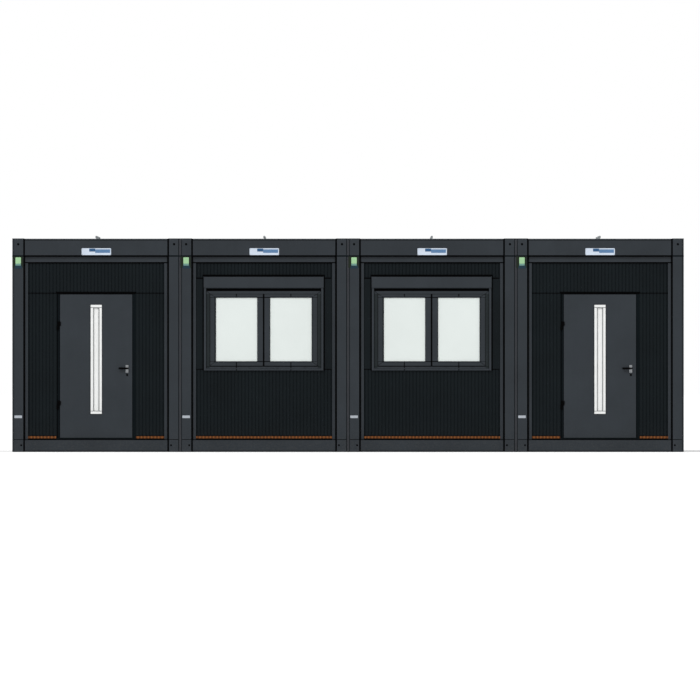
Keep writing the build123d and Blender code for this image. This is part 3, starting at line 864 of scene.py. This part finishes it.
class CABIN_OT_beads(bpy.types.Operator):
    """Black strips of painted shade in the reveals, under the beams and headers and across the posts, dark
    lines along the frame's joints and folds, and the lighter covers between the modules
    """

    bl_idname = "cabin.beads"
    bl_label = "Frame joints"

    def execute(self, context):
        ends, sides = end_walls(), [left_end(), right_end()]
        frame_lines(ends)
        end_wall_seals(ends)
        side_wall_seals(sides)
        fitting_shade_strips(ends, sides)
        joint_covers()
        return {"FINISHED"}


class CABIN_OT_corner_plugs(bpy.types.Operator):
    """Black cups with a rim in the holes of the corner fittings"""

    bl_idname = "cabin.corner_plugs"
    bl_label = "Corner plugs"

    def execute(self, context):
        holes = (("top_plugs", 0.086, 3.016, 0.0135), ("bottom_plugs", 0.130, 0.098, 0.0105))
        rim = 0.003
        for name, from_edge, z, radius in holes:
            u = MODULE_HALF - from_edge
            plug = pin(name, -u, (-0.0012, 0.006), z, radius + rim, 24)
            inset_front(plug, rim, 0.0)
            middle = Vector((module_x(1) - u, z))
            pick(plug, "FACE", lambda m, normal: outward(m, normal) and (m.xz - middle).length < 1e-4)
            bpy.ops.mesh.extrude_region_move(TRANSFORM_OT_translate={"value": (0, 0.005, 0)})
            close_edit()
            places = [shifted(place, step) for place in end_walls() for step in (0, 2 * u)]
            dress(repeated(plug, name, places), finish("black rubber and shade"), "building")
        return {"FINISHED"}


class CABIN_OT_trim_screws(bpy.types.Operator):
    """Dished screws along the upright trims of every wall"""

    bl_idname = "cabin.trim_screws"
    bl_label = "Trim screws"

    def execute(self, context):
        pitch = sizes().screw_pitch
        from_post = 0.0335
        lowest, highest = 0.34, 2.70
        u, side_u = INNER - from_post, SIDE_INNER - from_post
        screw = pin("trim_screws", -u, (TRIM_V - 0.0025, TRIM_V + 0.002), lowest, 0.0065, 12)
        round_over(screw, 0.0018, 2, before(TRIM_V - 0.002))
        inset_front(screw, 0.0022, 0.0008)
        rows = [(place, step) for place in end_walls() for step in (0, 2 * u)]
        rows += [(place, u + side) for place in (left_end(), right_end()) for side in (-side_u, side_u)]
        count = int((highest - lowest) / pitch) + 1
        places = [shifted(place, step, 0, i * pitch) for place, step in rows for i in range(count)]
        dress(repeated(screw, "trim_screws", places), finish("trim paint"), "building")
        return {"FINISHED"}


# Doors

def door_seal():
    """Rubber seal of the rebate, behind the edges of the leaf."""
    half, top = LEAF_U[1], LEAF_Z[1]
    depth = (LEAF_V[1] + 0.0015, LEAF_V[1] + 0.0045)
    height = (LEAF_Z[0] + 0.004, top + 0.006)
    runs = [bar("seal", (s * (half + 0.0065), s * (half - 0.012)), depth, height) for s in (-1, 1)]
    runs.append(bar("seal", centred(half + 0.006), depth, (top - 0.012, top + 0.0065)))
    return round_over(joined("door_seal", runs), 0.001, 1, before(LEAF_V[1] + 0.002))


def hinge_end(name, z, test):
    """A domed cap on one end of both knuckles."""
    cap = upright(name, HINGE_U, HINGE_V, z, 0.0088, 20)
    round_over(cap, 0.0045, 4, test)
    return repeated(cap, name, [FIRST, shifted(FIRST, z=HINGE_STEP)])


def plate_screws():
    """Two dished screws of the outer lock plate."""
    screw = pin("plate_screws", PLATE_U, (PLATE_V - 0.0025, PLATE_V), 1.188, 0.004, 14)
    round_over(screw, 0.001, 2, before(PLATE_V - 0.0023))
    inset_front(screw, 0.0012, 0.0006)
    return repeated(screw, "plate_screws", [FIRST, shifted(FIRST, z=0.062)])


def keyhole():
    """The key's slot and eye on the lock cylinder."""
    depth = proud(CYLINDER_V, 0.0008)
    slot = bar("keyhole", (PLATE_U - 0.0012, PLATE_U + 0.0012), depth, (1.158, 1.168))
    eye = pin("keyhole", PLATE_U, depth, 1.1685, 0.0028, 14)
    return round_over(joined("keyholes", [slot, eye]), 0.0003, 1, before(CYLINDER_V - 0.0007))


def vision_beads():
    """Grey gasket between the glazing frame and its pane."""
    depth = proud(BEZEL_V, 0.0008)
    low, high = BEZEL_Z[0] + BEZEL_BAND, BEZEL_Z[1] - BEZEL_BAND
    tall = (low + 0.003, high - 0.003)
    beads = [strip((-0.0435, -0.0360), depth, tall), strip((0.0355, 0.0470), depth, tall)]
    beads += [strip((-0.0790, 0.0815), depth, (z - 0.004, z + 0.004)) for z in (low, high)]
    return joined("vision_beads", beads)


def bezel_rims():
    """Painted rim round the glazing frame, wider at the left, the head and the foot."""
    depth = (BEZEL_V - 0.0010, LEAF_V[0])
    left, right = BEZEL_U[0] - 0.0010, BEZEL_U[1] + 0.0005
    low, high = BEZEL_Z[0] - 0.0005, BEZEL_Z[1] + 0.0005
    wide, slim, head = 0.0060, 0.0015, 0.0055
    across = (left + wide, right - slim)
    return joined("bezel_rims", [
        strip((left, left + wide), depth, (low, high)), strip((right - slim, right), depth, (low, high)),
        strip(across, depth, (high - head, high)), strip(across, depth, (low, low + head))])


def grip_sleeve():
    """Black sleeve on the outer grip of the lever."""
    height = (LEVER_Z[0] - 0.0025, LEVER_Z[1] + 0.0025)
    sleeve = bar("grip_sleeves", (LEVER_U[0] + 0.0005, 0.4400), (-0.0080, 0.0100), height)
    round_over(sleeve, 0.005, 3, lambda m, way: abs(way.x) > 0.9)
    return inset_front(sleeve, 0.003, 0.0008)


def lock_rosette():
    """Plain black round below the lock plate."""
    rosette = pin("lock_rosettes", 0.450, (0.0365, 0.0425), 1.118, 0.015, 28)
    round_over(rosette, 0.002, 2, before(0.037))
    return inset_front(rosette, 0.006, 0.0012)


def frame_seals_and_shade():
    """Black strips on the head and the hinge jamb of the door frame; the strip on the hinge jamb is painted
    shade.
    """
    depth = proud(DOOR_FRAME_V, 0.0014)
    foot, head, top = LEAF_Z[0], LEAF_Z[1] + 0.0055, DOOR_FRAME_Z[1] - 0.0020
    return joined("frame_seals_and_shade", [strip(centred(DOOR_FRAME_U[1] - 0.0005), depth, (head, top)),
                                  # Painted shade: black strip along the hinge jamb.
                                  strip((-0.5670, -0.5570), depth, (foot, head))])


def panel_seals():
    """Black fillings of the level joints beside the door head."""
    height = (PANEL_SEAM - 0.006, PANEL_SEAM + 0.006)
    across = both(DOOR_FRAME_U[1] + 0.0010, BETWEEN_TRIMS, PANEL_JOINT_V, height)
    return joined("panel_seals", [strip(*box) for box in across])


class CABIN_OT_door_details(bpy.types.Operator):
    """Seals, painted shade on the hinge jambs, hinge caps, gaskets, sleeves, screws and keyholes of the two
    doors
    """

    bl_idname = "cabin.door_details"
    bl_label = "Door details"

    def execute(self, context):
        rubber, black = finish("black rubber and shade"), finish("black coating")
        grey = moulded("bezel gasket", srgb(98, 102, 102), 0.5, 0.1)
        height = 0.0070
        cap_z, cup_z = (HINGE_TOP, HINGE_TOP + height), (HINGE_FOOT - height, HINGE_FOOT)
        caps = hinge_end("hinge_caps", cap_z, lambda m, way: m.z > cap_z[1] - 0.0005)
        cups = hinge_end("hinge_cups", cup_z, lambda m, way: m.z < cup_z[0] + 0.0005)
        leaf = "door_{}"
        on_each(vision_beads(), DOOR_MODULES, grey, leaf)
        on_each(door_seal(), DOOR_MODULES, rubber)
        on_each(bezel_rims(), DOOR_MODULES, finish("leaf paint"), leaf)
        on_each(frame_seals_and_shade(), DOOR_MODULES, rubber)
        on_each(panel_seals(), DOOR_MODULES, rubber)
        on_each(grip_sleeve(), DOOR_MODULES, finish("lever grip"), "door_{}_handle")
        on_each(lock_rosette(), DOOR_MODULES, black, leaf)
        on_each(caps, DOOR_MODULES, black, leaf)
        on_each(cups, DOOR_MODULES, black)
        on_each(plate_screws(), DOOR_MODULES, finish("brushed steel"), leaf)
        on_each(keyhole(), DOOR_MODULES, rubber, leaf)
        return {"FINISHED"}


# Windows, about the middle of the window

def window_seals(places):
    """Seals of the panes, the sashes and the frame, with the lines of the beads."""
    low, high = PANE_Z
    bottom, top = SASH_Z
    depth = (PANE_V - 0.0080, PANE_V - 0.0010)
    on_sash, on_frame = proud(SASH_V, 0.0008), proud(WINDOW_V, 0.0008)
    thin = 0.001
    seals = []
    for left, right, band in ((-PANE_HALF, -STILE, 0.005), (STILE, PANE_HALF, 0.002)):
        seals += [((left, left + band), depth, (low, high)), ((right - thin, right), depth, (low, high)),
                  ((left, right), depth, (low, low + thin)), ((left, right), depth, (high - thin, high))]
    seals += [(centred(0.0110), (0.0500, 0.0525), (bottom + 0.001, top - 0.001)),
              (centred(WINDOW_HALF - 0.007), proud(WINDOW_V, 0.0015), (bottom - 0.0025, bottom + 0.0005)),
              (centred(SASH_HALF), proud(SASH_V, 0.0012), (bottom + 0.0005, bottom + 0.0095))]
    bead_foot, bead_head = low - 0.0145, high + 0.0145
    for side in (-1, 1):
        inner, outer = side * (STILE + 0.0005), side * (PANE_HALF + 0.0160)
        seals.append(((outer - 0.0018, outer + 0.0018), on_sash, (low - 0.016, high + 0.016)))
        seals += [((inner, outer), on_sash, (z - 0.0016, z + 0.0016)) for z in (bead_foot, bead_head)]
    seals += both(SASH_HALF + 0.0005, SASH_HALF + 0.0050, on_frame, (bottom - 0.004, top + 0.003))
    seals += both(CHANNEL_END, CHANNEL_END + 0.0050, proud(WINDOW_V, 0.0012), (SILL_Z[1] + 0.002, 2.337))
    for u in (-SASH_MIDDLE, SASH_MIDDLE):
        tick = (u - 0.0065, u + 0.0065)
        seals += [(tick, on_sash, (high + 0.013, top - 0.001)),
                  (tick, on_sash, (bottom + 0.0095, low - 0.012)),
                  (tick, on_frame, (SILL_Z[1] + 0.002, bottom - 0.001)),
                  (tick, proud(SILL_V, 0.0008), (SILL_Z[0] + 0.002, SILL_Z[1] - 0.013))]
    lining("window_seals", seals, places)


def shutter_channels(places):
    """Darker channels between the sashes and the shutter guides."""
    shade = paint("channel paint", srgb(38, 43, 45), 0.5, 0.06, dust=0.0, shade=0.3)
    height = (SILL_Z[1] + 0.001, SASH_Z[1])
    channels = both(SASH_HALF + 0.005, CHANNEL_END, proud(WINDOW_V, 0.0010), height)
    lining("shutter_channels", channels, places, shade)


def casing_shade_and_joints(places):
    """Black strips of painted shade round the shutter box, along its guides and in the slot under it, and
    the level joints beside it and the sill.
    """
    foot, head = BOX_Z
    slot = centred(WINDOW_HALF - 0.004)
    gap_end, joint_end = 0.8850, 0.9800
    box_joint, sill_joint = (2.5130, 2.5270), (1.1940, 1.2060)
    # Painted shade: black strips over and under the shutter box and along its sides.
    seals = [(centred(gap_end), (0.040, 0.0505), (head + 0.0005, head + 0.025)),
             (slot, (0.0405, 0.046), (foot - 0.0445, foot - 0.0215))]
    seals += both(BOX_HALF + 0.0005, gap_end, (0.041, 0.0505), (SILL_Z[0] + 0.003, head + 0.0005))
    seals += [(slot, proud(WINDOW_V, 0.0015), (foot - 0.0475, foot - 0.0445)),
              (centred(BOX_HALF - 0.001), (0.0108, 0.0130), (head - 0.0038, head + 0.0004))]
    for z in (box_joint, sill_joint):
        seals += both(gap_end, joint_end, PANEL_JOINT_V, z)
    lining("casing_shade_and_joints", seals, places)


def mitre(foot, corner, face, side):
    """A diagonal line on a corner of the sash or the frame, from its foot to its far end."""
    across, rise = corner[0] - foot[0], corner[1] - foot[1]
    half = math.hypot(across, rise) / 2
    line = strip((-half, half), (face, face + 0.0010), centred(0.0022))
    turn = Matrix.Rotation(-math.atan2(rise, side * across), 4, "Y")
    middle = Matrix.Translation((side * (foot[0] + corner[0]) / 2, 0, (foot[1] + corner[1]) / 2))
    line.data.transform(FIRST @ middle @ turn @ FIRST.inverted())
    return line


def sash_mitres(places):
    """Corner joints of the sashes and the frame, diagonal outside and level at the stiles."""
    on_sash, on_frame = SASH_V - 0.0008, WINDOW_V - 0.0010
    pane, head, foot = PANE_HALF + 0.003, (SASH_HALF + 0.002, 2.2980), (SASH_HALF, 1.2530)
    ends = WINDOW_HALF - 0.009
    lines = []
    for side in (-1, 1):
        lines += [mitre((pane, 2.2440), head, on_sash, side), mitre(head, (ends, 2.3350), on_frame, side),
                  mitre((pane, 1.3110), foot, on_sash, side),
                  mitre((head[0], 1.2510), (ends, 1.2300), on_frame, side)]
        for z in (PANE_Z[0] - 0.0045, PANE_Z[1] + 0.0045):
            stile, jamb = (side * 0.0115, side * (STILE - 0.0005)), (side * pane, side * (SASH_HALF - 0.001))
            lines.append(strip(stile, proud(SASH_V, 0.0008), (z - 0.0055, z + 0.0055)))
            lines.append(strip(jamb, proud(SASH_V, 0.0007), (z - 0.0022, z + 0.0022)))
    whole = repeated(joined("sash_mitres", lines), "sash_mitres", places)
    dress(whole, finish("black rubber and shade"), "building")


def drain_caps(places):
    """Four small caps along the foot of the window frame."""
    cap = bar("drain_caps", (-0.62, -0.58), (WINDOW_V - 0.003, WINDOW_V + 0.0005), (1.222, 1.232))
    round_over(cap, 0.003, 3, runs_inwards)
    inset_front(cap, 0.0015, 0.001)
    steps = [shifted(place, 0.40 * i) for place in places for i in range(4)]
    dress(repeated(cap, "drain_caps", steps), finish("shutter paint"), "building")


def shutter_end_caps(places):
    """Caps on both ends of the shutter box."""
    left, right = -BOX_HALF - 0.0035, -BOX_HALF + 0.0015
    cap = bar("shutter_end_caps", (left, right), (0.0105, 0.0505), (BOX_Z[0] - 0.002, BOX_Z[1] + 0.0015))
    round_over(cap, 0.004, 3, lambda m, way: abs(way.x) > 0.9)
    steps = [shifted(place, u) for place in places for u in (0, -left - right)]
    dress(repeated(cap, "shutter_end_caps", steps), finish("shutter paint"), "building")


class CABIN_OT_window_details(bpy.types.Operator):
    """Seals, painted shade round the shutter boxes, channels, corner joints, drain caps and shutter end caps
    of the two windows
    """

    bl_idname = "cabin.window_details"
    bl_label = "Window details"

    def execute(self, context):
        places = [shifted(front(n), WINDOW_SHIFT) for n in WINDOW_MODULES]
        window_seals(places)
        shutter_channels(places)
        casing_shade_and_joints(places)
        lip = [(centred(BOX_HALF - 0.007), (0.0125, 0.0165), (BOX_Z[0] - 0.0055, BOX_Z[0] + 0.001))]
        lining("shutter_lips", lip, places, finish("shutter paint"))
        sash_mitres(places)
        drain_caps(places)
        shutter_end_caps(places)
        return {"FINISHED"}


class CABIN_OT_roof_clips(bpy.types.Operator):
    """Folded clips over the standing seam of each roof sheet"""

    bl_idname = "cabin.roof_clips"
    bl_label = "Roof clips"

    def execute(self, context):
        pitch = sizes().clip_pitch
        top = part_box("roof_sheets")[1].z
        first, width = 0.20, 0.04
        clip = bar("roof_clips", centred(0.010), (first, first + width), (top - 0.030, top + 0.003))
        round_over(clip, 0.003, 2, lambda m, way: runs_inwards(m, way) and m.z > top)
        pick(clip, "FACE", lambda m, normal: abs(normal.x) > 0.9)
        bpy.ops.mesh.inset(thickness=0.005, depth=0.002, use_individual=True)
        close_edit()
        count = int((2 * HALF_LENGTH - 2 * first - width) / pitch) + 1
        for n in MODULES:
            places = [shifted(front(n), v=i * pitch) for i in range(count)]
            row = joined(f"roof_clips_{n}", [copied(clip, "clip", place) for place in places])
            dress(row, finish("zinc"), "building")
        bpy.data.objects.remove(clip)
        return {"FINISHED"}


class CABIN_OT_stage(bpy.types.Operator):
    """Pale floor, soft studio light and the camera of the front view"""

    bl_idname = "cabin.stage"
    bl_label = "Stage"

    def execute(self, context):
        deselect()
        bpy.ops.mesh.primitive_plane_add(size=1400, location=(0, 0, -0.001))
        floor = settle(bpy.context.object, "floor")
        material, tree, shader = blank("studio floor")
        tint = ramp(tree, noise(tree, 0.3, 3.0), 0.3, 0.7, 0.80, 0.82)
        base = node(tree, "ShaderNodeCombineColor", {0: tint, 1: tint, 2: tint})
        tree.links.new(base.outputs[0], shader.inputs["Base Color"])
        shader.inputs["Roughness"].default_value = 0.9
        shader.inputs["Specular IOR Level"].default_value = 0.0
        output = next(x for x in tree.nodes if x.type == "OUTPUT_MATERIAL")
        seen = node(tree, "ShaderNodeLightPath")
        lift = maths(tree, "MULTIPLY", seen.outputs["Is Camera Ray"], 0.30)
        glow = node(tree, "ShaderNodeEmission", {"Color": (1, 1, 1, 1), "Strength": lift})
        lit = node(tree, "ShaderNodeAddShader", {0: shader.outputs[0], 1: glow.outputs[0]})
        tree.links.new(lit.outputs[0], output.inputs["Surface"])
        floor.data.materials.append(material)

        world = bpy.data.worlds.new("studio")
        context.scene.world = world
        world.use_nodes = True
        tree = world.node_tree
        tree.nodes.clear()
        path = node(tree, "ShaderNodeLightPath")
        shown = maths(tree, "MAXIMUM", path.outputs["Is Camera Ray"], path.outputs["Is Glossy Ray"])
        shown = maths(tree, "MAXIMUM", shown, path.outputs["Is Transmission Ray"])
        strength = ramp(tree, shown, 0.0, 1.0, 0.74, 1.0)
        sky = node(tree, "ShaderNodeBackground", {"Color": (1, 1, 1, 1), "Strength": strength})
        node(tree, "ShaderNodeOutputWorld", {"Surface": sky.outputs[0]})

        lamp = bpy.data.lights.new("key", "SUN")
        lamp.energy = 1.25
        lamp.angle = math.radians(24)
        key = bpy.data.objects.new("key", lamp)
        key.rotation_euler = (math.radians(48), 0, math.radians(-28))
        context.scene.collection.objects.link(key)

        lens = bpy.data.cameras.new("front view")
        lens.sensor_width = 36
        lens.lens = lens.sensor_width * VIEW_DISTANCE / VIEW_WIDTH
        lens.clip_start = 1
        lens.clip_end = 900
        camera = bpy.data.objects.new("front view", lens)
        camera.location = (VIEW_MIDDLE[0], -HALF_LENGTH - VIEW_DISTANCE, VIEW_MIDDLE[1])
        camera.rotation_euler = (math.pi / 2, 0, 0)
        context.scene.collection.objects.link(camera)
        context.scene.camera = camera
        context.scene.view_settings.view_transform = "Standard"
        return {"FINISHED"}


STEPS = (
    CABIN_OT_finishes, CABIN_OT_name_plates, CABIN_OT_stickers, CABIN_OT_beads,
    CABIN_OT_corner_plugs, CABIN_OT_trim_screws, CABIN_OT_door_details,
    CABIN_OT_window_details, CABIN_OT_roof_clips, CABIN_OT_stage,
)


class CABIN_PT_sidebar(bpy.types.Panel):
    """Lists the cabin's sizes, colours and steps"""

    bl_label = "Site cabin"
    bl_idname = "CABIN_PT_sidebar"
    bl_space_type = "VIEW_3D"
    bl_region_type = "UI"
    bl_category = "Cabin"

    def draw(self, context):
        for group in (context.scene.cabin_sizes, context.scene.cabin_colours):
            for name in group.__annotations__:
                self.layout.prop(group, name)
        for step in STEPS:
            self.layout.operator(step.bl_idname)


CLASSES = (CabinColours, CabinSizes, *STEPS, CABIN_PT_sidebar)


def register():
    for item in CLASSES:
        bpy.utils.register_class(item)
    bpy.types.Scene.cabin_colours = bpy.props.PointerProperty(type=CabinColours)
    bpy.types.Scene.cabin_sizes = bpy.props.PointerProperty(type=CabinSizes)


def unregister():
    del bpy.types.Scene.cabin_sizes
    del bpy.types.Scene.cabin_colours
    for item in reversed(CLASSES):
        bpy.utils.unregister_class(item)


def main():
    register()
    bpy.ops.cabin.finishes()
    bpy.ops.cabin.name_plates()
    bpy.ops.cabin.stickers()
    bpy.ops.cabin.beads()
    bpy.ops.cabin.corner_plugs()
    bpy.ops.cabin.trim_screws()
    bpy.ops.cabin.door_details()
    bpy.ops.cabin.window_details()
    bpy.ops.cabin.roof_clips()
    bpy.ops.cabin.stage()


if __name__ == "__main__":
    main()
